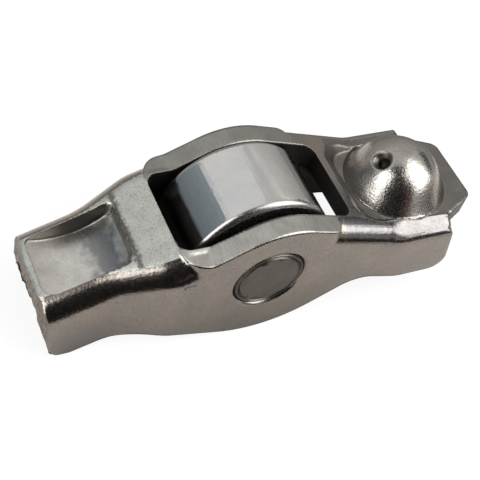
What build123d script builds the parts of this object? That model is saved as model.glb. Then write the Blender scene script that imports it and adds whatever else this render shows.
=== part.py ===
from build123d import *
import os
from math import acos, asin, atan2, cos, degrees, floor, hypot, pi, radians, sqrt, tan

# Roller finger follower: a folded sheet-metal lever with a roller on needles in its window.
# The origin is the centre of the ball socket, +X runs from the valve pad to the socket, +Z is up.
# Driving dimensions are in millimetres, and angles in degrees.
# Side-view values are measured from the roller axis: along the arm, then up.

# Roller, needles and axle
roller_diameter = 17.8
roller_edge = 0.7          # rounding of the roller's outer edges
roller_bore_edge = 0.3     # chamfer at the roller's bore
roller_side_gap = 0.7      # roller to each wall
roller_wall = 3.06
axle_fit = 0.005           # radial gap of the axle in its holes
axle_sink = 0.1            # axle ends below the outer wall faces
stake_margin = 0.3         # edge of the axle end left outside the staking groove
stake_depth = 0.25
stake_width = 0.35
axle_edge = 0.2
axle_hole_edge = 0.35      # chamfer of the axle holes
needle_diameter = 1.6
needle_inset = 0.25        # needle ends inside the roller's faces
needle_edge = 0.2
race_gap = 0.02            # needles to each race
needle_gap = 0.04          # least gap between neighbouring needles

# Sheet and plan of the lever
sheet = 2.6
body_width = 16.2          # over the walls at the roller
pad_width = 12.5           # over the walls at the valve pad
pad_reach = 25.1           # roller axis to the pad end
pad_end_bow = 0.5          # bulge of the sheared pad end, in plan
neck_start = -17.4         # where the walls begin to spread
neck_lead = 1.05           # from their full width to the window
neck_round = 7.0
inner_bend = 0.8           # inside radius of the folds
pad_bend = 3.0             # outside radius of the folds at the pad
socket_bend = 2.6          # and at the socket, on the -Y side
socket_far_bend = 1.0      # and on the +Y side

# Window and the wall arches beside the roller
window_gap_pad = 1.75      # roller to the window's pad-side edge
window_gap_socket = 1.4    # roller to the window's socket-side edge
window_round = 1.4
window_shave = 0.05        # shaved off the walls' inner faces by the window's punch
arch_clear = 1.1           # roller stands this far above the arches
arch_x = -0.15             # arch crest, before rounding
arch_rise = 26.5           # slope on the pad side
arch_fall = 17.1           # slope on the socket side
arch_round = 9.6
arch_low = 4.8             # wall tops beside the window's pad-side edge
arch_low_round = 2.5
arch_horn = 2.8            # plan rounding of the arch's pad-side end
arch_end = 7.8             # where the socket-side fold takes over
arch_end_round = 1.5       # plan rounding there

# Web and valve pad
web_height = 4.8           # web top at the window's pad-side edge
web_slope = 21.3
web_level = 0.55           # from the window's edge to where the folds level off, under the arches
pad_x = -21.3              # lowest line of the pad
pad_top = -1.3             # height of the scoop's floor there
scoop_radius = 9.0         # floor of the scoop, about Y
scoop_start = -24.3
scoop_end = -14.7
scoop_width = 8.2
scoop_round = 1.6          # plan corners on the -Y side
scoop_far_round = 0.8      # and on the +Y side
scoop_fillet = 0.2
pad_step_lead = 2.75       # from the step in the pad's underside to the window
pad_step_run = 0.9
underside_round = 1.0      # rounding of the underside's steps

# Socket, flange and tongue
pivot_to_roller = 19.7     # socket centre to roller axis, along the arm
axis_drop = 2.8            # roller axis below the socket centre
flange_top = 3.05          # floor of the recess round the dome
rim_height = 3.3           # top of the folds beside it
socket_radius = 3.5
socket_wall = 2.06         # sheet left in the dome
socket_lip = 0.9           # rounding of the socket's mouth
dome_flare = 0.7           # spread of the dome's foot past its radius
dome_fillet = 0.3
bar_width = 1.1            # raised bar between window and recess
recess_rim = 2.9           # rim left beside the recess floor, at the bar
recess_draft = 45.0
recess_round = 2.0
bar_underside = 2.5        # height under the bar at the window
bar_run = 1.9              # length over which the underside drops to the flange
oil_hole_diameter = 1.1
oil_sink_diameter = 2.7
oil_sink_angle = 80.0
oil_hole_tilt = 36.0       # from the dome's axis toward the roller
tongue_reach = 28.4        # roller axis to the tongue end
tongue_root = 24.2
tongue_rim = 1.7           # rim left beside the recess floor and the tongue's root
tongue_end_width = 8.6
tongue_round = 1.3

# Lower outline of the walls, corner points before rounding
pad_heel = -23.9
pad_toe = -21.6
pad_foot = -8.5
pad_foot_round = 1.6
pad_lip = -3.3             # where the end face starts to lean back
pad_notch_x = -14.2
pad_notch = -5.9
pad_notch_round = 10.0
belly_x = 1.6
belly_corner = 1.15        # belly corner below the roller
belly_round = 15.0
socket_notch_x = 12.5
socket_notch = -3.4
socket_notch_round = 5.5
socket_toe = 18.7
socket_foot = -5.3
socket_foot_round = 6.0
socket_heel = 25.7
socket_heel_round = 1.9
wall_end = 23.9            # top of the walls' socket end

# Worked-out sizes
roller_radius = roller_diameter / 2
needle_radius = needle_diameter / 2
bore_radius = roller_radius - roller_wall
axle_radius = bore_radius - needle_diameter - 2 * race_gap
stake_radius = axle_radius - stake_margin
needle_ring = axle_radius + race_gap + needle_radius
needle_count = floor(pi / asin((needle_radius + needle_gap / 2) / needle_ring))
half_body = body_width / 2
half_pad = pad_width / 2
half_inner = half_body - sheet
half_window = half_inner + window_shave
roller_width = 2 * (half_window - roller_side_gap)
needle_length = roller_width - 2 * needle_inset
window_pad = -roller_radius - window_gap_pad
window_socket = roller_radius + window_gap_socket
neck_end = window_pad - neck_lead
web_turn = window_pad + web_level
pad_step = window_pad - pad_step_lead
arch_half_turn = radians((arch_rise + arch_fall) / 2)
arch_lean = radians((arch_rise - arch_fall) / 2)
arch_crest = roller_radius - arch_clear
arch_corner = arch_crest + arch_round * (cos(arch_lean) / cos(arch_half_turn) - 1)
fall = tan(radians(arch_fall))
rise = tan(radians(arch_rise))
slope = tan(radians(web_slope))
arch_foot_x = arch_x - (arch_corner - arch_low) / rise
rim_end = arch_x + (arch_corner - rim_height) / fall
fold_foot = web_height + slope * (web_turn - window_pad) - pad_bend
fold_start = arch_end - 2 * arch_end_round
flange_under = flange_top - sheet
dome_radius = socket_radius + socket_wall
dome_foot = dome_radius + dome_flare
foot_radius = dome_foot + dome_fillet
foot_level = flange_top - axis_drop
flank_turn = degrees(acos(dome_radius / hypot(dome_foot, foot_level)) + atan2(foot_level, dome_foot))
flank_end = Vector(dome_radius, 0).rotate(Axis.Z, flank_turn)
recess_half = half_body - recess_rim
tongue_half = half_body - tongue_rim
recess_edge = window_socket + bar_width
recess_start = recess_edge + arch_corner - fall * (recess_edge - arch_x) - flange_top
block_depth = 2 * roller_diameter
clear = 1.0                # overrun of cutting tools past the metal

# The side view and the plan are drawn from the roller axis.
side = Plane(origin=(-pivot_to_roller, 0, -axis_drop), x_dir=(1, 0, 0), z_dir=(0, -1, 0))
plan = Plane(origin=(-pivot_to_roller, 0, -axis_drop))


def web_top(x):
    return web_height + slope * (x - window_pad)


def rim_top(x):
    return arch_corner - fall * (x - arch_x)


def pad_under(x):
    return pad_top + scoop_radius - sqrt((scoop_radius + sheet) ** 2 - (x - pad_x) ** 2)


def spread_plan(inset, start, end):
    # Corner points of the walls' plan, narrow at the pad and wide at the roller
    narrow = half_pad - inset
    wide = half_body - inset
    upper = [(start, narrow), (neck_start, narrow), (neck_end, wide), (end, wide)]
    lower = [(x, -y) for x, y in reversed(upper)]
    return upper + lower


spread_rounds = [0, neck_round, neck_round, 0, 0, neck_round, neck_round, 0]

# Pad end of the folded sheet, still solid
with BuildPart() as pad_block:
    with BuildSketch(plan.offset(-block_depth)):
        with BuildLine():
            FilletPolyline(*spread_plan(0, -pad_reach, 0), radius=spread_rounds, close=True)
        make_face()
    extrude(amount=2 * block_depth)
    with BuildSketch(side):
        with BuildLine():
            FilletPolyline(
                (-pad_reach - clear, web_top(-pad_reach - clear)),
                (web_turn, web_top(web_turn)),
                (clear, web_top(web_turn)),
                (clear, 2 * block_depth),
                (-pad_reach - clear, 2 * block_depth),
                radius=[0, arch_low_round, 0, 0, 0],
                close=True,
            )
        make_face()
    extrude(amount=body_width, both=True, mode=Mode.SUBTRACT)
    web_faces = pad_block.faces().filter_by(lambda f: f.normal_at().Z > 0.1)
    fillet(web_faces.edges().filter_by(Axis.Y, reverse=True), pad_bend)

# Socket end of the folded sheet, still solid
with BuildPart() as socket_block:
    with BuildSketch(side):
        with BuildLine():
            FilletPolyline(
                (fold_start, -block_depth),
                (fold_start, rim_top(fold_start)),
                (rim_end, rim_height),
                (socket_heel + clear, rim_height),
                (socket_heel + clear, -block_depth),
                radius=[0, 0, socket_notch_round, 0, 0],
                close=True,
            )
        make_face()
    extrude(amount=half_body, both=True)
    for place, bend in ((0, socket_bend), (-1, socket_far_bend)):
        fold_edges = socket_block.edges().filter_by(lambda e: e.center().Z > -axis_drop)
        fold_edges = fold_edges.filter_by(Axis.Y, reverse=True).filter_by(Axis.Z, reverse=True)
        fillet(fold_edges.group_by(Axis.Y)[place], bend)

# Arched walls beside the roller, still solid
with BuildPart() as arch_block:
    with BuildSketch(side):
        with BuildLine():
            FilletPolyline(
                (window_pad, fold_foot),
                (window_pad, arch_low),
                (arch_foot_x, arch_low),
                (arch_x, arch_corner),
                (arch_end, rim_top(arch_end)),
                (arch_end, fold_foot),
                radius=[0, 0, arch_low_round, arch_round, 0, 0],
                close=True,
            )
        make_face()
    extrude(amount=half_body, both=True)
    arch_corners = arch_block.edges().filter_by(Axis.Z).group_by(Axis.X)
    fillet(arch_corners[0], arch_horn)
    fillet(arch_corners[-1], arch_end_round)
    with BuildSketch(plan.offset(fold_foot)):
        with Locations(((window_pad + arch_end) / 2, 0)):
            Rectangle(arch_end - window_pad, body_width)
    extrude(amount=-block_depth)

# Hollow under the folded sheet
with BuildPart() as channel:
    with BuildSketch(plan.offset(-block_depth)):
        with BuildLine():
            FilletPolyline(
                *spread_plan(sheet, -pad_reach - clear, tongue_reach + clear),
                radius=spread_rounds,
                close=True,
            )
        make_face()
    extrude(amount=2 * block_depth)
    web_under = sheet / cos(radians(web_slope))
    with BuildSketch(side) as underside:
        with BuildLine():
            ThreePointArc(
                (-pad_reach - clear, pad_under(-pad_reach - clear)),
                (pad_x, pad_under(pad_x)),
                (pad_step, pad_under(pad_step)),
            )
            Polyline(
                (pad_step, pad_under(pad_step)),
                (pad_step + pad_step_run, web_top(pad_step + pad_step_run) - web_under),
                (window_pad, web_top(window_pad) - web_under),
                (window_socket, bar_underside),
                (window_socket + bar_run, flange_under),
                (tongue_reach + clear, flange_under),
                (tongue_reach + clear, 2 * block_depth),
                (-pad_reach - clear, 2 * block_depth),
                (-pad_reach - clear, pad_under(-pad_reach - clear)),
            )
        make_face()
        steps = underside.vertices().filter_by_position(Axis.X, -pad_reach, tongue_reach)
        fillet(steps, underside_round)
    extrude(amount=body_width, both=True, mode=Mode.SUBTRACT)
    roof = channel.faces().filter_by(lambda f: f.normal_at().Z > 0.1)
    roof_edges = roof.edges().filter_by(Axis.Y, reverse=True)
    fillet(roof_edges, inner_bend)

# Scoop pressed into the web above the valve pad
with BuildPart() as scoop:
    with BuildSketch(plan.offset(pad_top - clear)):
        with BuildLine():
            FilletPolyline(
                (scoop_start, scoop_width / 2),
                (scoop_end, scoop_width / 2),
                (scoop_end, -scoop_width / 2),
                (scoop_start, -scoop_width / 2),
                radius=[scoop_far_round, scoop_far_round, scoop_round, scoop_round],
                close=True,
            )
        make_face()
    extrude(amount=block_depth)
    with BuildSketch(side):
        with Locations((pad_x, pad_top + scoop_radius)):
            Circle(scoop_radius)
            Rectangle(2 * scoop_radius, block_depth, align=(Align.CENTER, Align.MIN))
    extrude(amount=body_width, both=True, mode=Mode.INTERSECT)
    fillet(scoop.faces().sort_by(Axis.Z)[0].edges(), scoop_fillet)

# Plane on the dome where the oil hole starts
oil_axis = Vector(0, 0, 1).rotate(Axis.Y, -oil_hole_tilt)
oil_face = Plane(origin=oil_axis * dome_radius, z_dir=oil_axis)

# Stamped lever
with BuildPart() as rocker_body:
    add(pad_block.part)
    add(socket_block.part)
    add(arch_block.part)
    with BuildSketch(side):
        with BuildLine():
            FilletPolyline(
                (-pad_reach, block_depth),
                (-pad_reach, pad_lip),
                (pad_heel, pad_foot),
                (pad_toe, pad_foot),
                (pad_notch_x, pad_notch),
                (belly_x, -roller_radius - belly_corner),
                (socket_notch_x, socket_notch),
                (socket_toe, socket_foot),
                (socket_heel, socket_foot),
                (wall_end, rim_height),
                (wall_end, block_depth),
                radius=[
                    0,
                    pad_foot_round,
                    pad_foot_round,
                    pad_foot_round,
                    pad_notch_round,
                    belly_round,
                    socket_notch_round,
                    socket_foot_round,
                    socket_heel_round,
                    0,
                    0,
                ],
                close=True,
            )
        make_face()
    extrude(amount=body_width, both=True, mode=Mode.INTERSECT)
    with BuildSketch(plan.offset(-block_depth)):
        with BuildLine():
            ThreePointArc(
                (pad_end_bow - pad_reach, half_pad),
                (-pad_reach, 0),
                (pad_end_bow - pad_reach, -half_pad),
            )
            Polyline(
                (pad_end_bow - pad_reach, -half_pad),
                (pad_end_bow - pad_reach, -body_width),
                (-pad_reach - clear, -body_width),
                (-pad_reach - clear, body_width),
                (pad_end_bow - pad_reach, body_width),
                (pad_end_bow - pad_reach, half_pad),
            )
        make_face()
    extrude(amount=2 * block_depth, mode=Mode.SUBTRACT)
    with BuildSketch(plan.offset(flange_under)):
        with BuildLine():
            FilletPolyline(
                (rim_end, tongue_half),
                (tongue_root, tongue_half),
                (tongue_reach, tongue_end_width / 2),
                (tongue_reach, -tongue_end_width / 2),
                (tongue_root, -tongue_half),
                (rim_end, -tongue_half),
                radius=[0, tongue_round, tongue_round, tongue_round, tongue_round, 0],
                close=True,
            )
        make_face()
    extrude(amount=sheet)
    with BuildSketch(plan.offset(flange_top)):
        with BuildLine():
            FilletPolyline(
                (tongue_reach + clear, tongue_half),
                (tongue_root, tongue_half),
                (recess_start, recess_half),
                (recess_start, -recess_half),
                (tongue_root, -tongue_half),
                (tongue_reach + clear, -tongue_half),
                radius=[0, recess_round, recess_round, recess_round, recess_round, 0],
                close=True,
            )
        make_face()
    extrude(amount=roller_radius - flange_top, taper=-recess_draft, mode=Mode.SUBTRACT)
    with BuildSketch(Plane.XZ) as dome:
        Circle(dome_radius)
        with BuildLine():
            Polyline(
                (0, foot_level),
                (dome_foot, foot_level),
                (flank_end.X, flank_end.Y),
                (0, flank_end.Y),
                close=True,
            )
        make_face()
        with Locations((0, flange_under - axis_drop)):
            Rectangle(dome_foot, 2 * dome_radius, align=(Align.MIN, Align.MIN), mode=Mode.INTERSECT)
            Rectangle(foot_radius, sheet, align=(Align.MIN, Align.MIN))
        foot = dome.vertices().filter_by(lambda v: abs(v.Y - foot_level) < axle_fit)
        fillet(foot.sort_by(Axis.X)[0], dome_fillet)
    revolve(axis=Axis.Z)
    add(channel.part, mode=Mode.SUBTRACT)
    add(scoop.part, mode=Mode.SUBTRACT)
    with BuildSketch(plan.offset(-block_depth)):
        with Locations(((window_pad + window_socket) / 2, 0)):
            RectangleRounded(window_socket - window_pad, 2 * half_window, window_round)
    extrude(amount=2 * block_depth, mode=Mode.SUBTRACT)
    with BuildSketch(Plane.XZ):
        Circle(socket_radius)
        with Locations((0, -socket_radius)):
            Rectangle(2 * socket_radius, 2 * socket_radius)
        with Locations((socket_radius / 2, 0)):
            Rectangle(socket_radius, 4 * socket_radius, mode=Mode.INTERSECT)
    revolve(axis=Axis.Z, mode=Mode.SUBTRACT)
    mouth = rocker_body.edges().filter_by(GeomType.CIRCLE).filter_by(lambda e: e.center().Z < 0)
    fillet(mouth.filter_by(lambda e: abs(e.radius - socket_radius) < axle_fit), socket_lip)
    with BuildSketch(side):
        Circle(axle_radius + axle_fit)
    extrude(amount=body_width, both=True, mode=Mode.SUBTRACT)
    holes = rocker_body.edges().filter_by(GeomType.CIRCLE)
    holes = holes.filter_by(lambda e: abs(e.radius - axle_radius - axle_fit) < axle_fit)
    chamfer(holes.group_by(Axis.Y)[0] + holes.group_by(Axis.Y)[-1], axle_hole_edge)
    with Locations(oil_face):
        CounterSinkHole(oil_hole_diameter / 2, oil_sink_diameter / 2, dome_radius, oil_sink_angle)
rocker_body.part.label = "rocker_body"

# Axle, staked at both ends
with BuildPart() as roller_axle:
    with BuildSketch(side):
        Circle(axle_radius)
    extrude(amount=half_body - axle_sink, both=True)
    chamfer(roller_axle.edges().filter_by(GeomType.CIRCLE), axle_edge)
    for end_face in roller_axle.faces().filter_by(Axis.Y):
        with BuildSketch(Plane(end_face)):
            Circle(stake_radius)
            Circle(stake_radius - stake_width, mode=Mode.SUBTRACT)
        extrude(amount=-stake_depth, mode=Mode.SUBTRACT)
roller_axle.part.label = "roller_axle"

# Roller ring
with BuildPart() as cam_roller:
    with BuildSketch(side):
        Circle(roller_radius)
        Circle(bore_radius, mode=Mode.SUBTRACT)
    extrude(amount=roller_width / 2, both=True)
    rims = cam_roller.edges().filter_by(GeomType.CIRCLE).group_by(SortBy.RADIUS)
    fillet(rims[-1], roller_edge)
    chamfer(rims[0], roller_bore_edge)
cam_roller.part.label = "cam_roller"

os.makedirs("parts", exist_ok=True)
export_step(rocker_body.part, "parts/rocker_body.step")
export_step(roller_axle.part, "parts/roller_axle.step")
export_step(cam_roller.part, "parts/cam_roller.step")

# Full complement of needles
for index in range(needle_count):
    angle = 360 * index / needle_count
    with BuildPart() as needle:
        with BuildSketch(side):
            with PolarLocations(needle_ring, 1, start_angle=angle):
                Circle(needle_radius)
        extrude(amount=needle_length / 2, both=True)
        chamfer(needle.edges().filter_by(GeomType.CIRCLE), needle_edge)
    name = f"needle_{index + 1:02d}"
    needle.part.label = name
    export_step(needle.part, f"parts/{name}.step")
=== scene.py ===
from math import atan2, cos, pi, radians, sin, sqrt, tan

import bmesh
import bpy
from mathutils import Matrix, Vector, noise


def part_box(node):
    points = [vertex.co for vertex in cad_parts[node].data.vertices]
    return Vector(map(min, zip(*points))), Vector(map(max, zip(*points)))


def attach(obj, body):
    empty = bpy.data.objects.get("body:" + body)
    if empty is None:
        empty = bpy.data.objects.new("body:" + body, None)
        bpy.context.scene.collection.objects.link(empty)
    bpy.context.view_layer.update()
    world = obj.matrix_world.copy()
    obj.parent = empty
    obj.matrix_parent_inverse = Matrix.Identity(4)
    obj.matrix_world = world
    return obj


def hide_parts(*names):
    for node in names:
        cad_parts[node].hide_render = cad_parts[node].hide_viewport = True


# Roller finger follower: the stamped lever, its staked axle, the cam roller and the needles.
# Everything is in metres. The ball socket's centre is the origin, +X runs from the pad to the socket.
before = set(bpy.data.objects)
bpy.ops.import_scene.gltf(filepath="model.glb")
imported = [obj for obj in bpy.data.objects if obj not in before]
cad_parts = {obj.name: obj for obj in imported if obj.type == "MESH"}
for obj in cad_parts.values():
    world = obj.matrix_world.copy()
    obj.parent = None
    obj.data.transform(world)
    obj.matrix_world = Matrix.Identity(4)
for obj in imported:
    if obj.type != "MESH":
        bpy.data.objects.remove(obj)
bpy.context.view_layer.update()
mm = 0.001
print("frame loaded:", len(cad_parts), "nodes")

# Landmarks of the lever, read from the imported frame
rollerLow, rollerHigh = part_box("cam_roller")
leverLow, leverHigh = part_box("rocker_body")
rollerAxis = (rollerLow + rollerHigh) / 2
halfWidth = leverHigh.y
sheet = 2.6 * mm
halfInner = halfWidth - sheet
domeRadius = leverHigh.z

# How a finish reads its two noises: the spans that become tint, dots, gloss and ragged edges
grainPlan = {
    "mottleDetail": 4.0, "speckDetail": 2.0, "noiseRoughness": 0.55, "easeSamples": 6,
    "tintSpan": (0.35, 0.65), "dotSpan": (0.5, 0.72), "glossSpan": (0.3, 0.7), "ragSpan": (0.3, 0.7),
}


def newMaterial(name):
    made = bpy.data.materials.new(name)
    made.use_nodes = True
    nodes = made.node_tree.nodes
    return made, nodes, made.node_tree.links, nodes["Principled BSDF"]


def addNode(nodes, kind, **values):
    node = nodes.new(kind)
    for name, value in values.items():
        if hasattr(node, name):
            setattr(node, name, value)
        else:
            node.inputs[name].default_value = value
    return node


def noiseOn(nodes, links, source, grain, detail, stretch=(1, 1, 1)):
    # grain is the size of one blotch; stretch lengthens it along x, y or z
    place = addNode(nodes, "ShaderNodeMapping")
    place.inputs["Scale"].default_value = [1 / (grain * s) for s in stretch]
    made = addNode(nodes, "ShaderNodeTexNoise", Scale=1.0, Detail=detail)
    made.inputs["Roughness"].default_value = grainPlan["noiseRoughness"]
    links.new(source, place.inputs["Vector"])
    links.new(place.outputs["Vector"], made.inputs["Vector"])
    return made.outputs["Fac"]


def spread(nodes, links, source, span, target):
    # Maps a span of values onto a target span
    made = addNode(nodes, "ShaderNodeMapRange")
    made.inputs["From Min"].default_value, made.inputs["From Max"].default_value = span
    made.inputs["To Min"].default_value, made.inputs["To Max"].default_value = target
    links.new(source, made.inputs["Value"])
    return made.outputs["Result"]


def blendColors(nodes, links, factor, first, second):
    made = addNode(nodes, "ShaderNodeMix", data_type="RGBA")
    links.new(factor, made.inputs["Factor"])
    for socket, color in (("A", first), ("B", second)):
        target = [s for s in made.inputs if s.name == socket and s.type == "RGBA"][0]
        if isinstance(color, bpy.types.NodeSocket):
            links.new(color, target)
        else:
            target.default_value = (*color, 1)
    return [s for s in made.outputs if s.type == "RGBA"][0]


def combine(nodes, links, operation, first, second):
    made = addNode(nodes, "ShaderNodeMath", operation=operation)
    links.new(first, made.inputs[0])
    links.new(second, made.inputs[1])
    return made.outputs[0]


def steelFinish(name, look):
    made, nodes, links, shader = newMaterial(name)
    here = addNode(nodes, "ShaderNodeTexCoord").outputs["Object"]
    mottle = noiseOn(nodes, links, here, look["mottleSize"], grainPlan["mottleDetail"])
    speck = noiseOn(nodes, links, here, look["speckSize"], grainPlan["speckDetail"], look["stretch"])
    tone = spread(nodes, links, mottle, grainPlan["tintSpan"], (0, 1))
    body = blendColors(nodes, links, tone, look["color"], look["tint"])
    # Painted shade: a dark stripe, where the look lists one
    if "band" in look:
        body = shadeBandColor(nodes, links, here, body, look["band"])
    dots = spread(nodes, links, speck, grainPlan["dotSpan"], (0, look["speckDepth"]))
    links.new(blendColors(nodes, links, dots, body, look["speckColor"]), shader.inputs["Base Color"])
    gloss = spread(nodes, links, speck, grainPlan["glossSpan"], (look["smooth"], look["rough"]))
    links.new(gloss, shader.inputs["Roughness"])
    shader.inputs["Metallic"].default_value = 1.0
    relief = addNode(nodes, "ShaderNodeBump", Strength=1.0)
    relief.inputs["Distance"].default_value = look["relief"]
    links.new(speck, relief.inputs["Height"])
    eased = addNode(nodes, "ShaderNodeBevel", samples=grainPlan["easeSamples"])
    eased.inputs["Radius"].default_value = look["ease"]
    links.new(eased.outputs["Normal"], relief.inputs["Normal"])
    links.new(relief.outputs["Normal"], shader.inputs["Normal"])
    return made


def shadeBandColor(nodes, links, here, body, band):
    # A stripe of painted shade across the lever, with ragged edges
    ragged = noiseOn(nodes, links, here, band["ragSize"], grainPlan["mottleDetail"])
    along = addNode(nodes, "ShaderNodeSeparateXYZ")
    links.new(here, along.inputs[0])
    lag = spread(nodes, links, ragged, grainPlan["ragSpan"], (-band["rag"], band["rag"]))
    place = combine(nodes, links, "ADD", along.outputs["X"], lag)
    rise = spread(nodes, links, place, (band["start"], band["full"]), (0, band["depth"]))
    fall = spread(nodes, links, place, (band["fade"], band["end"]), (1, 0))
    share = combine(nodes, links, "MULTIPLY", rise, fall)
    return blendColors(nodes, links, share, body, band["color"])


# Finishes of the lever: the same steel, tumbled, hammered, sheared, torn, coined and drawn, with dark
# oxide, and copies of it that carry painted shade or painted light
tumbledLook = {
    "color": (0.262, 0.228, 0.196), "tint": (0.218, 0.205, 0.19), "speckColor": (0.11, 0.095, 0.083),
    "mottleSize": 4.0 * mm, "speckSize": 0.24 * mm, "stretch": (1, 1, 1), "speckDepth": 0.4,
    "smooth": 0.13, "rough": 0.27, "relief": 0.013 * mm, "ease": 0.15 * mm,
}
hammeredLook = dict(tumbledLook, color=(0.21, 0.20, 0.194), tint=(0.165, 0.158, 0.154), mottleSize=1.3 * mm)
shearedLook = {
    "color": (0.40, 0.39, 0.36), "tint": (0.33, 0.32, 0.295), "speckColor": (0.15, 0.14, 0.13),
    "mottleSize": 2.0 * mm, "speckSize": 0.11 * mm, "stretch": (1, 16, 1), "speckDepth": 0.5,
    "smooth": 0.3, "rough": 0.46, "relief": 0.010 * mm, "ease": 0.15 * mm,
}
# Painted shade: the far arch's cut face is a darker copy of the sheared finish
shadedFarCutLook = dict(shearedLook, color=(0.27, 0.265, 0.24), tint=(0.22, 0.215, 0.195), speckDepth=0.35)
tornLook = {
    "color": (0.24, 0.215, 0.19), "tint": (0.16, 0.14, 0.12), "speckColor": (0.05, 0.042, 0.036),
    "mottleSize": 0.8 * mm, "speckSize": 0.25 * mm, "stretch": (1, 1, 2), "speckDepth": 0.8,
    "smooth": 0.35, "rough": 0.6, "relief": 0.05 * mm, "ease": 0.15 * mm,
}
coinedLook = {
    "color": (0.55, 0.53, 0.49), "tint": (0.45, 0.44, 0.415), "speckColor": (0.26, 0.25, 0.24),
    "mottleSize": 1.6 * mm, "speckSize": 0.2 * mm, "stretch": (1, 1, 1), "speckDepth": 0.35,
    "smooth": 0.26, "rough": 0.4, "relief": 0.007 * mm, "ease": 0.15 * mm,
    # Painted shade: a dark stripe across the scoop floor near its end wall
    "band": {"start": -38.3 * mm, "full": -37.0 * mm, "rag": 0.6 * mm, "ragSize": 1.0 * mm,
             "color": (0.165, 0.166, 0.17), "depth": 0.88, "fade": -35.4 * mm, "end": -34.6 * mm},
}
# Dull oxide round the dome, also used as painted shade on the scoop's steep walls and in the oil hole's
# sink
oxideAndShadeLook = {
    "color": (0.18, 0.166, 0.148), "tint": (0.145, 0.136, 0.125), "speckColor": (0.075, 0.07, 0.063),
    "mottleSize": 2.4 * mm, "speckSize": 0.2 * mm, "stretch": (1, 1, 1), "speckDepth": 0.5,
    "smooth": 0.3, "rough": 0.44, "relief": 0.008 * mm, "ease": 0.15 * mm,
}
drawnLook = {
    "color": (0.36, 0.335, 0.305), "tint": (0.32, 0.30, 0.28), "speckColor": (0.17, 0.155, 0.14),
    "mottleSize": 2.4 * mm, "speckSize": 0.26 * mm, "stretch": (1, 1, 1), "speckDepth": 0.4,
    "smooth": 0.17, "rough": 0.3, "relief": 0.027 * mm, "ease": 0.08 * mm,
}
# Painted shade: a near-black copy of the steel for the channel's hidden faces, the oil bore and the groove
# at the dome's foot
shadedInsideLook = {
    "color": (0.075, 0.068, 0.062), "tint": (0.06, 0.055, 0.05), "speckColor": (0.03, 0.027, 0.025),
    "mottleSize": 2.4 * mm, "speckSize": 0.25 * mm, "stretch": (1, 1, 1), "speckDepth": 0.5,
    "smooth": 0.4, "rough": 0.55, "relief": 0.012 * mm, "ease": 0.12 * mm,
}
# Painted light: a paler copy of the steel for the upper face between the scoop and the window
litWebLook = {
    "color": (0.50, 0.505, 0.47), "tint": (0.42, 0.425, 0.395), "speckColor": (0.15, 0.147, 0.135),
    "mottleSize": 1.8 * mm, "speckSize": 0.19 * mm, "stretch": (1, 1, 1), "speckDepth": 0.6,
    "smooth": 0.28, "rough": 0.46, "relief": 0.012 * mm, "ease": 0.2 * mm,
    # Painted shade: a dark line along the scoop's end rim
    "band": {"start": -34.7 * mm, "full": -34.4 * mm, "rag": 0.2 * mm, "ragSize": 0.4 * mm,
             "color": (0.09, 0.085, 0.08), "depth": 0.85, "fade": -34.2 * mm, "end": -33.8 * mm},
}
leverLooks = {
    "tumbled": tumbledLook, "hammered": hammeredLook, "sheared": shearedLook, "farCut": shadedFarCutLook,
    "torn": tornLook, "coined": coinedLook, "flange": oxideAndShadeLook, "drawn": drawnLook, "inside": shadedInsideLook,
    "web": litWebLook,
}
leverFinishes = [steelFinish(zone + "Steel", look) for zone, look in leverLooks.items()]
zoneNames = list(leverLooks)

# Finishes of the turned and ground pieces
axleLook = {
    "color": (0.118, 0.104, 0.093), "tint": (0.098, 0.088, 0.08), "speckColor": (0.05, 0.045, 0.04),
    "mottleSize": 2.4 * mm, "speckSize": 0.2 * mm, "stretch": (1, 1, 1), "speckDepth": 0.35,
    "smooth": 0.3, "rough": 0.42, "relief": 0.006 * mm, "ease": 0.1 * mm,
}
groundLook = {
    "color": (0.565, 0.545, 0.52), "tint": (0.50, 0.505, 0.51), "speckColor": (0.43, 0.43, 0.43),
    "mottleSize": 2.2 * mm, "speckSize": 0.16 * mm, "stretch": (2, 1, 2), "speckDepth": 0.25,
    "smooth": 0.11, "rough": 0.17, "relief": 0.0008 * mm, "ease": 0.1 * mm,
}
rimLook = dict(groundLook, color=(0.33, 0.315, 0.305), tint=(0.28, 0.27, 0.265), smooth=0.24, rough=0.34)
axleSteel = steelFinish("axleSteel", axleLook)
groundSteel = steelFinish("groundSteel", groundLook)
rimSteel = steelFinish("rimSteel", rimLook)
print("finishes made:", len(bpy.data.materials))

# Skins: the longest edge after refining, and the angle in degrees above which an edge counts as sharp
leverPiece = {
    "edge": 0.45 * mm, "sharp": 30,
    # depth and grain of the torn pad end, and how much finer and fainter its second grain is
    "tear": 0.28 * mm, "tearSize": 1.1 * mm, "tearFine": 2.3, "tearFineShare": 0.5,
}
turnedPiece = {"edge": 0.9 * mm, "sharp": 30}
needlePiece = {"edge": 3.0 * mm, "sharp": 30}
mergeReach = 0.0005 * mm
refineRounds = 8
rimTurn = 0.12                # a turned face that leans further along the axis belongs to the rim


def refinedSkin(nodeName, piece):
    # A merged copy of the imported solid, cut to short edges
    bm = bmesh.new()
    bm.from_mesh(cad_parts[nodeName].data)
    bmesh.ops.remove_doubles(bm, verts=bm.verts, dist=mergeReach)
    bmesh.ops.dissolve_degenerate(bm, edges=bm.edges, dist=mergeReach)
    for turn in range(refineRounds):
        longEdges = [e for e in bm.edges if e.calc_length() > piece["edge"]]
        if not longEdges:
            break
        bmesh.ops.subdivide_edges(bm, edges=longEdges, cuts=1)
        bmesh.ops.triangulate(bm, faces=[f for f in bm.faces if len(f.verts) > 3])
    return bm


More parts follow.
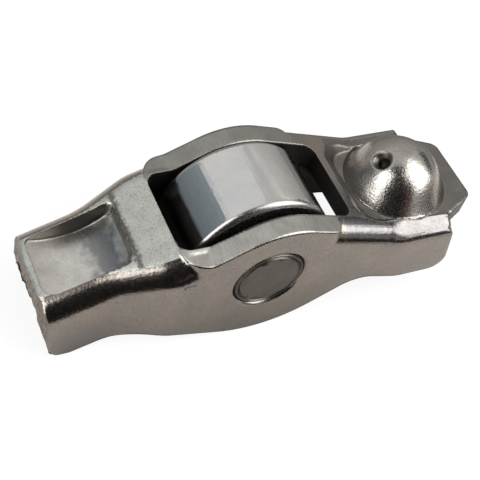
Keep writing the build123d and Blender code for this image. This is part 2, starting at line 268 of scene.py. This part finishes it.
def finishedPiece(bm, name, nodeName, body, materials, sharp):
    mesh = bpy.data.meshes.new(name)
    bm.to_mesh(mesh)
    bm.free()
    mesh.shade_smooth()
    mesh.set_sharp_from_angle(angle=radians(sharp))
    made = bpy.data.objects.new(name, mesh)
    bpy.context.scene.collection.objects.link(made)
    for material in materials:
        mesh.materials.append(material)
    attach(made, body)
    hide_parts(nodeName)
    print("piece made:", name, len(mesh.polygons), "faces")


# Outline of the lever, from the roller's axis
leverPlan = {
    "webSlope": tan(radians(21.3)), "webHeight": 4.8 * mm,
    "windowPad": -10.65 * mm, "windowSocket": 10.3 * mm,
    "padHalf": 6.25 * mm, "neckStart": -17.4 * mm, "neckEnd": -11.7 * mm,
}
# Where each finish lies, from the roller's axis or, round the dome, from the socket's centre.
# Turn, side, up and down are limits for a part of the face's normal, skin is a depth under a surface
tornEnd = {"x": -23.6 * mm, "turn": -0.5}
scoopFloor = {
    "x": (-24.4 * mm, -14.6 * mm), "half": 4.2 * mm, "low": -2.0 * mm, "skin": 0.06 * mm,
    "up": -0.1, "nearWall": -0.2, "farWall": 0.5,
}
oilBore = {"tilt": radians(36.0), "hole": 0.6 * mm, "sink": 1.4 * mm, "low": 0.5 * mm, "skin": 0.03 * mm}
domeFlank = {
    "low": 0.22 * mm, "high": 3 * mm, "inner": 4 * mm, "foot": 6.26 * mm, "past": 0.2 * mm,
    "margin": 0.05 * mm, "up": 0.02, "steep": 0.75, "level": 0.9,
}
domeTop = {"low": 0.3 * mm, "skin": 0.1 * mm}
channelInside = {"up": 0.3}
socketFlange = {
    "margin": 0.3 * mm, "half": 7.0 * mm, "top": 4.6 * mm, "nearFold": 5.4 * mm,
    "level": 0.985, "farSide": 0.5,
}
archCut = {"end": 7.9 * mm, "low": 3.6 * mm, "margin": 0.3 * mm, "side": 0.5, "up": 0.3}
webFace = {"skin": 0.15 * mm, "side": 0.3, "up": 0.5}
undersideCut = {"side": 0.25, "down": -0.2}
tongueCut = {"x": 4 * mm, "turn": 0.5}

# The near fold is hammered flat between two turns of its bend, from the socket's centre toward the tongue
hammeredFold = {
    "from": radians(4), "to": radians(64), "bend": 2.6 * mm, "side": 5.3 * mm,
    "start": -4 * mm, "full": 3 * mm, "depth": 0.75, "steps": 9, "domeFoot": (6.5 * mm, 8.2 * mm),
    "rim": -11 * mm, "up": 0.3,
}
# The end of the pad's near fold in the wall, from the roller's axis
wallSpot = {"x": (-11.3 * mm, -8.6 * mm), "z": (0.4 * mm, 2.5 * mm), "past": 0.1 * mm, "reach": 0.2 * mm}
# Boxes in millimetres from the roller's axis; edges sharper than keep, in degrees, stay
softPlaces = [
    {"box": ((-11.8, -7.6), (-9.6, -6.6), (0.6, 4.8)), "steps": 7, "keep": 70},
    {"box": ((-16.8, -14.2), (-4.4, 4.4), (-2.4, 3)), "steps": 24, "keep": 100},
]
softShrink = 0.5              # share of a box's size that is lost by its last step
smoothShare = 0.5


def clamped(value):
    return min(max(value, 0), 1)


def halfOutside(x):
    share = (x - leverPlan["neckStart"]) / (leverPlan["neckEnd"] - leverPlan["neckStart"])
    return leverPlan["padHalf"] + (halfWidth - leverPlan["padHalf"]) * clamped(share)


def leverZone(face):
    # Which finish a face of the lever has, from where it lies and how it is turned
    p = face.calc_center_median()
    q = p - rollerAxis
    n = face.normal
    webTop = leverPlan["webHeight"] + leverPlan["webSlope"] * (q.x - leverPlan["windowPad"])
    return padZone(q, n, webTop) or domeZone(p, n) or foldedZone(p, q, n, webTop)


def padZone(q, n, webTop):
    if q.x < tornEnd["x"] and n.x < tornEnd["turn"]:
        return "torn"
    left, right = scoopFloor["x"]
    inPlan = left < q.x < right and abs(q.y) < scoopFloor["half"]
    if inPlan and scoopFloor["low"] < q.z < webTop - scoopFloor["skin"] and n.z > scoopFloor["up"]:
        # The scoop's steep walls take the dark oxide finish as painted shade
        steep = n.y < scoopFloor["nearWall"] or n.y > scoopFloor["farWall"]
        return "flange" if steep else "coined"
    return None


def domeZone(p, n):
    oilAxis = Vector((-sin(oilBore["tilt"]), 0, cos(oilBore["tilt"])))
    along = p.dot(oilAxis)
    fromOil = (p - oilAxis * along).length
    sunk = p.length < domeRadius - oilBore["skin"]
    if p.z > oilBore["low"] and along > 0 and fromOil < oilBore["sink"] and sunk:
        # Painted shade in the oil hole: near black in the bore, the dark oxide finish in its sink
        return "inside" if fromOil < oilBore["hole"] else "flange"
    flank = domeFlank
    reach = sqrt(p.x * p.x + p.y * p.y)
    onFlank = flank["inner"] < reach < flank["foot"] + flank["past"] and flank["low"] < p.z < flank["high"]
    if onFlank and n.z > flank["up"]:
        if reach < flank["foot"] - flank["margin"] and n.z < flank["steep"]:
            return "drawn"
        # Painted shade in the groove at the dome's foot: near black on steep faces, the dark oxide finish
        # on level ones
        return "inside" if n.z < flank["level"] else "flange"
    if p.z > domeTop["low"] and abs(p.length - domeRadius) < domeTop["skin"]:
        return "drawn"
    return None


def foldedZone(p, q, n, webTop):
    side = abs(q.y)
    level = socketFlange["level"]
    # Painted shade: the channel's hidden faces are near black
    if side < halfOutside(q.x) - sheet / 2 and n.z < channelInside["up"]:
        return "inside"
    bySocket = q.x > leverPlan["windowSocket"] - socketFlange["margin"]
    # The recess round the dome takes the dark finish: dull oxide with painted shade
    if bySocket and side < socketFlange["half"] and q.z < socketFlange["top"]:
        inRecess = side < socketFlange["nearFold"] and n.z > 0
        onFarRim = q.y > 0 and n.z > 0 and n.y < socketFlange["farSide"]
        if n.z > level or inRecess or onFarRim:
            return "flange"
    overArch = q.z > archCut["low"] and side > halfInner - archCut["margin"]
    if overArch and abs(n.y) < archCut["side"] and n.z > archCut["up"]:
        if leverPlan["windowPad"] < q.x < archCut["end"]:
            # The far arch's cut face takes the darker copy as painted shade
            return "sheared" if q.y < 0 else "farCut"
    # Painted light: the upward face between the scoop and the window takes the paler copy
    onWeb = q.x < leverPlan["windowPad"] and abs(q.z - webTop) < webFace["skin"]
    if onWeb and abs(n.y) < webFace["side"] and n.z > webFace["up"]:
        return "web"
    if abs(n.y) < undersideCut["side"] and n.z < undersideCut["down"]:
        return "sheared"
    if n.x > tongueCut["turn"] and p.x > tongueCut["x"]:
        return "sheared"
    if p.x > hammeredFold["rim"] and q.y < 0 and hammeredFold["up"] < n.z < level:
        return "hammered"
    return "tumbled"


def smoothOnce(bm, verts):
    axes = {"use_axis_x": True, "use_axis_y": True, "use_axis_z": True}
    bmesh.ops.smooth_vert(bm, verts=verts, factor=smoothShare, **axes)


def flattenFold(bm):
    # The near fold beside the dome is hammered to a slanted flat toward the tongue
    fold = hammeredFold
    middle = (fold["from"] + fold["to"]) / 2
    half = (fold["to"] - fold["from"]) / 2
    inward = Vector((0, sin(middle), -cos(middle)))
    near, far = fold["domeFoot"]
    moved = []
    for v in bm.verts:
        turn = atan2(-v.normal.y, v.normal.z)
        if v.co.x < fold["start"] or v.co.y > -fold["side"] or not fold["from"] < turn < fold["to"]:
            continue
        clear = clamped((v.co.xy.length - near) / (far - near))
        share = min((v.co.x - fold["start"]) / (fold["full"] - fold["start"]), 1) * fold["depth"] * clear
        v.co += inward * share * fold["bend"] * (cos(turn - middle) - cos(half))
        moved.append(v)
    for turn in range(fold["steps"]):
        smoothOnce(bm, moved)


def flattenSpot(bm):
    # The wall under the near arch is plane up to the end of the fold
    left, right = wallSpot["x"]
    low, high = wallSpot["z"]
    for v in bm.verts:
        q = v.co - rollerAxis
        byWall = -halfWidth - wallSpot["past"] < q.y < -halfWidth + wallSpot["reach"]
        if left < q.x < right and low < q.z < high and byWall:
            v.co.y = -halfWidth


def soften(bm, place):
    # Rounds off a run-out or a crease, away from the cut edges
    limit = radians(place["keep"])
    cut = {v for e in bm.edges if e.is_manifold and e.calc_face_angle(0) > limit for v in e.verts}
    middle = Vector([(low + high) / 2 * mm for low, high in place["box"]])
    half = Vector([(high - low) / 2 * mm for low, high in place["box"]])
    free = [v for v in bm.verts if v not in cut]
    for turn in range(place["steps"]):
        size = 1 - softShrink * turn / place["steps"]
        away = [(v, v.co - rollerAxis - middle) for v in free]
        smoothOnce(bm, [v for v, d in away if all(abs(d[i]) < half[i] * size for i in range(3))])


def tearEnd(bm):
    # Pits the broken end of the pad
    tornIndex = zoneNames.index("torn")
    torn = {v for f in bm.faces if f.material_index == tornIndex for v in f.verts}
    for v in torn:
        place = v.co / leverPiece["tearSize"]
        pit = noise.noise(place) + leverPiece["tearFineShare"] * noise.noise(place * leverPiece["tearFine"])
        v.co.x += leverPiece["tear"] * clamped(0.5 + 0.5 * pit)


def makeLever():
    bm = refinedSkin("rocker_body", leverPiece)
    bm.normal_update()
    flattenFold(bm)
    flattenSpot(bm)
    for place in softPlaces:
        soften(bm, place)
    bm.normal_update()
    for face in bm.faces:
        face.material_index = zoneNames.index(leverZone(face))
    tearEnd(bm)
    finishedPiece(bm, "lever", "rocker_body", "lever", leverFinishes, leverPiece["sharp"])


def makeTurned(name, nodeName, body, materials, piece):
    # The last finish goes on the rims
    bm = refinedSkin(nodeName, piece)
    bm.normal_update()
    for face in bm.faces:
        face.material_index = len(materials) - 1 if abs(face.normal.y) > rimTurn else 0
    finishedPiece(bm, name, nodeName, body, materials, piece["sharp"])


makeLever()
makeTurned("axle", "roller_axle", "lever", [axleSteel], turnedPiece)
makeTurned("roller", "cam_roller", "roller", [groundSteel, rimSteel], turnedPiece)
for nodeName in sorted(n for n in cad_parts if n.startswith("needle_")):
    makeTurned(nodeName.replace("_", ""), nodeName, "needle_set", [groundSteel], needlePiece)

# Floor: pale and plain, white where it is seen, with the lever's shadow kept.
# In the metal it glows a little warm, with a painted shadow where the lever stands over it
floorPiece = {
    "size": 3.0, "color": (0.9, 0.9, 0.9), "roughness": 0.9, "glow": 0.88, "mirrored": (1, 0.95, 0.9),
    "reach": 20 * mm, "openSpan": (0.3, 0.8), "openLevel": (0.02, 1.0),
}


def seenRays(nodes, links, path):
    seen = path.outputs["Is Camera Ray"]
    for kind in ("Is Glossy Ray", "Is Transmission Ray"):
        seen = combine(nodes, links, "MAXIMUM", seen, path.outputs[kind])
    return seen


def makeFloor():
    bm = bmesh.new()
    bmesh.ops.create_grid(bm, x_segments=1, y_segments=1, size=floorPiece["size"])
    bmesh.ops.translate(bm, verts=bm.verts, vec=(0, 0, leverLow.z))
    mesh = bpy.data.meshes.new("floor")
    bm.to_mesh(mesh)
    bm.free()
    made = bpy.data.objects.new("floor", mesh)
    bpy.context.scene.collection.objects.link(made)
    paint, nodes, links, shader = newMaterial("floorPaint")
    shader.inputs["Base Color"].default_value = (*floorPiece["color"], 1)
    shader.inputs["Roughness"].default_value = floorPiece["roughness"]
    shader.inputs["Specular IOR Level"].default_value = 0.0
    path = addNode(nodes, "ShaderNodeLightPath")
    atCamera = path.outputs["Is Camera Ray"]
    share = spread(nodes, links, seenRays(nodes, links, path), (0, 1), (0, floorPiece["glow"]))
    # Painted shadow: ambient occlusion dims the glow that the metal mirrors under the lever
    cover = addNode(nodes, "ShaderNodeAmbientOcclusion", Distance=floorPiece["reach"])
    under = spread(nodes, links, cover.outputs["AO"], floorPiece["openSpan"], floorPiece["openLevel"])
    glow = addNode(nodes, "ShaderNodeEmission")
    links.new(combine(nodes, links, "MAXIMUM", under, atCamera), glow.inputs["Strength"])
    tone = blendColors(nodes, links, atCamera, floorPiece["mirrored"], (1, 1, 1))
    links.new(tone, glow.inputs["Color"])
    mix = addNode(nodes, "ShaderNodeMixShader")
    links.new(share, mix.inputs["Fac"])
    links.new(shader.outputs["BSDF"], mix.inputs[1])
    links.new(glow.outputs["Emission"], mix.inputs[2])
    links.new(mix.outputs["Shader"], nodes["Material Output"].inputs["Surface"])
    mesh.materials.append(paint)


# Studio: bearings in degrees, 0 is behind the lever, 90 to its right, 180 at the camera's side
studioMiddle = Vector((-18 * mm, 0, -3 * mm))
studioLamps = {
    "leftStrip": {"bearing": (-121, -88), "height": (-18, 58), "distance": 0.45, "level": 4.0},
    "rightBox": {"bearing": (97, 158), "height": (15, 74), "distance": 0.45, "level": 3.9},
}
# Plain cards round the lever, which its metal mirrors, each with the tone of its lower and its upper edge
studioCards = {
    "frontCard": {"bearing": (-192, -121), "height": (-14, 86), "distance": 0.5,
                  "low": (0.02, 0.02, 0.021), "high": (0.02, 0.02, 0.021)},
    "warmCard": {"bearing": (161, 178), "height": (-16, 60), "distance": 0.47,
                 "low": (0.13, 0.075, 0.065), "high": (0.13, 0.075, 0.065)},
    "blueCard": {"bearing": (-88, -42), "height": (-14, 40), "distance": 0.55,
                 "low": (0.13, 0.155, 0.17), "high": (0.34, 0.40, 0.44)},
    "backCard": {"bearing": (-42, 64), "height": (-12, 42), "distance": 0.6,
                 "low": (0.36, 0.35, 0.33), "high": (0.82, 0.8, 0.77)},
    "dimCard": {"bearing": (30, 63), "height": (40, 60), "distance": 0.58,
                "low": (0.74, 0.73, 0.71), "high": (0.8, 0.79, 0.77)},
    "gapCard": {"bearing": (64, 100), "height": (9, 29), "distance": 0.5,
                "low": (0.035, 0.04, 0.055), "high": (0.035, 0.04, 0.055)},
    "lineCard": {"bearing": (98, 150), "height": (7, 15), "distance": 0.5,
                 "low": (0.05, 0.05, 0.055), "high": (0.05, 0.05, 0.055)},
    "sideCard": {"bearing": (60, 150), "height": (-14, 8), "distance": 0.52,
                 "low": (0.8, 0.78, 0.75), "high": (0.7, 0.68, 0.66)},
}
# Grey sheets on the table, which only the metal mirrors
tableSheets = {
    "frontSheet": {"x": (-0.45, 0.30), "y": (-0.60, -0.031), "lift": 0.2 * mm,
                   "low": (0.02, 0.019, 0.019), "high": (0.02, 0.019, 0.019)},
    "backSheet": {"x": (0.01, 0.40), "y": (0.016, 0.40), "lift": 0.2 * mm,
                  "low": (0.3, 0.29, 0.28), "high": (0.3, 0.29, 0.28)},
}
# Strength of the white room, for rays that light and for rays that see
roomLevel = (0.6, 1.0)
# The photograph's camera: lens and sensor in millimetres, axes and place from the fit
photoCamera = {
    "lens": 77.59, "sensor": 36, "clip": 0.005,
    "right": (0.8943, -0.3916, 0.2164), "up": (0.1804, 0.7582, 0.6267), "back": (-0.4095, -0.5214, 0.7487),
    "place": (-68.60 * mm, -62.96 * mm, 84.70 * mm),
}


def outward(bearing, height):
    turn, rise = radians(bearing), radians(height)
    return Vector((sin(turn) * cos(rise), cos(turn) * cos(rise), sin(rise)))


def facingPlace(place):
    # Middle, turn and size of a flat panel that covers a span of bearings and heights
    middleHeight = sum(place["height"]) / 2
    away = outward(sum(place["bearing"]) / 2, middleHeight)
    halfTurn = radians(place["bearing"][1] - place["bearing"][0]) / 2
    halfRise = radians(place["height"][1] - place["height"][0]) / 2
    wide = 2 * place["distance"] * tan(halfTurn) * cos(radians(middleHeight))
    tall = 2 * place["distance"] * tan(halfRise)
    matrix = away.to_track_quat("Z", "Y").to_matrix().to_4x4()
    matrix.translation = studioMiddle + away * place["distance"]
    return matrix, wide, tall


def makeLamp(name, place):
    matrix, wide, tall = facingPlace(place)
    data = bpy.data.lights.new(name, "AREA")
    data.shape = "RECTANGLE"
    data.size = wide
    data.size_y = tall
    data.energy = place["level"] * pi * wide * tall
    lamp = bpy.data.objects.new(name, data)
    bpy.context.scene.collection.objects.link(lamp)
    lamp.matrix_world = matrix
    lamp.visible_camera = False


def makeTableSheet(name, place):
    xs, ys = place["x"], place["y"]
    matrix = Matrix.Translation((sum(xs) / 2, sum(ys) / 2, leverLow.z + place["lift"]))
    makePanel(name, matrix, xs[1] - xs[0], ys[1] - ys[0], place)


def makeCard(name, place):
    matrix, wide, tall = facingPlace(place)
    makePanel(name, matrix, wide, tall, place)


def makePanel(name, matrix, wide, tall, place):
    bm = bmesh.new()
    bmesh.ops.create_grid(bm, x_segments=1, y_segments=1, size=0.5)
    bmesh.ops.scale(bm, verts=bm.verts, vec=(wide, tall, 1))
    bmesh.ops.transform(bm, verts=bm.verts, matrix=matrix)
    mesh = bpy.data.meshes.new(name)
    bm.to_mesh(mesh)
    bm.free()
    card = bpy.data.objects.new(name, mesh)
    bpy.context.scene.collection.objects.link(card)
    paint, nodes, links, shader = newMaterial(name)
    shader.inputs["Base Color"].default_value = (0, 0, 0, 1)
    shader.inputs["Specular IOR Level"].default_value = 0.0
    rise = addNode(nodes, "ShaderNodeSeparateXYZ")
    links.new(addNode(nodes, "ShaderNodeTexCoord").outputs["Generated"], rise.inputs[0])
    tone = blendColors(nodes, links, rise.outputs["Z"], place["low"], place["high"])
    links.new(tone, shader.inputs["Emission Color"])
    shader.inputs["Emission Strength"].default_value = 1.0
    mesh.materials.append(paint)
    card.visible_camera = False
    card.visible_shadow = False
    card.visible_diffuse = False


def makeSurroundings():
    world = bpy.data.worlds.new("studioRoom")
    bpy.context.scene.world = world
    world.use_nodes = True
    nodes, links = world.node_tree.nodes, world.node_tree.links
    seen = seenRays(nodes, links, addNode(nodes, "ShaderNodeLightPath"))
    nodes["Background"].inputs["Color"].default_value = (1, 1, 1, 1)
    links.new(spread(nodes, links, seen, (0, 1), roomLevel), nodes["Background"].inputs["Strength"])


def makeCamera():
    data = bpy.data.cameras.new("photoCamera")
    data.lens = photoCamera["lens"]
    data.sensor_width = photoCamera["sensor"]
    data.clip_start = photoCamera["clip"]
    camera = bpy.data.objects.new("photoCamera", data)
    bpy.context.scene.collection.objects.link(camera)
    axes = [Vector(photoCamera[name]) for name in ("right", "up", "back")]
    place = Matrix(axes).transposed().to_4x4()
    place.translation = Vector(photoCamera["place"])
    camera.matrix_world = place
    bpy.context.scene.camera = camera


makeFloor()
for name, place in studioLamps.items():
    makeLamp(name, place)
for name, place in studioCards.items():
    makeCard(name, place)
for name, place in tableSheets.items():
    makeTableSheet(name, place)
makeSurroundings()
makeCamera()
bpy.context.scene.view_settings.view_transform = "Standard"
print("stage set")
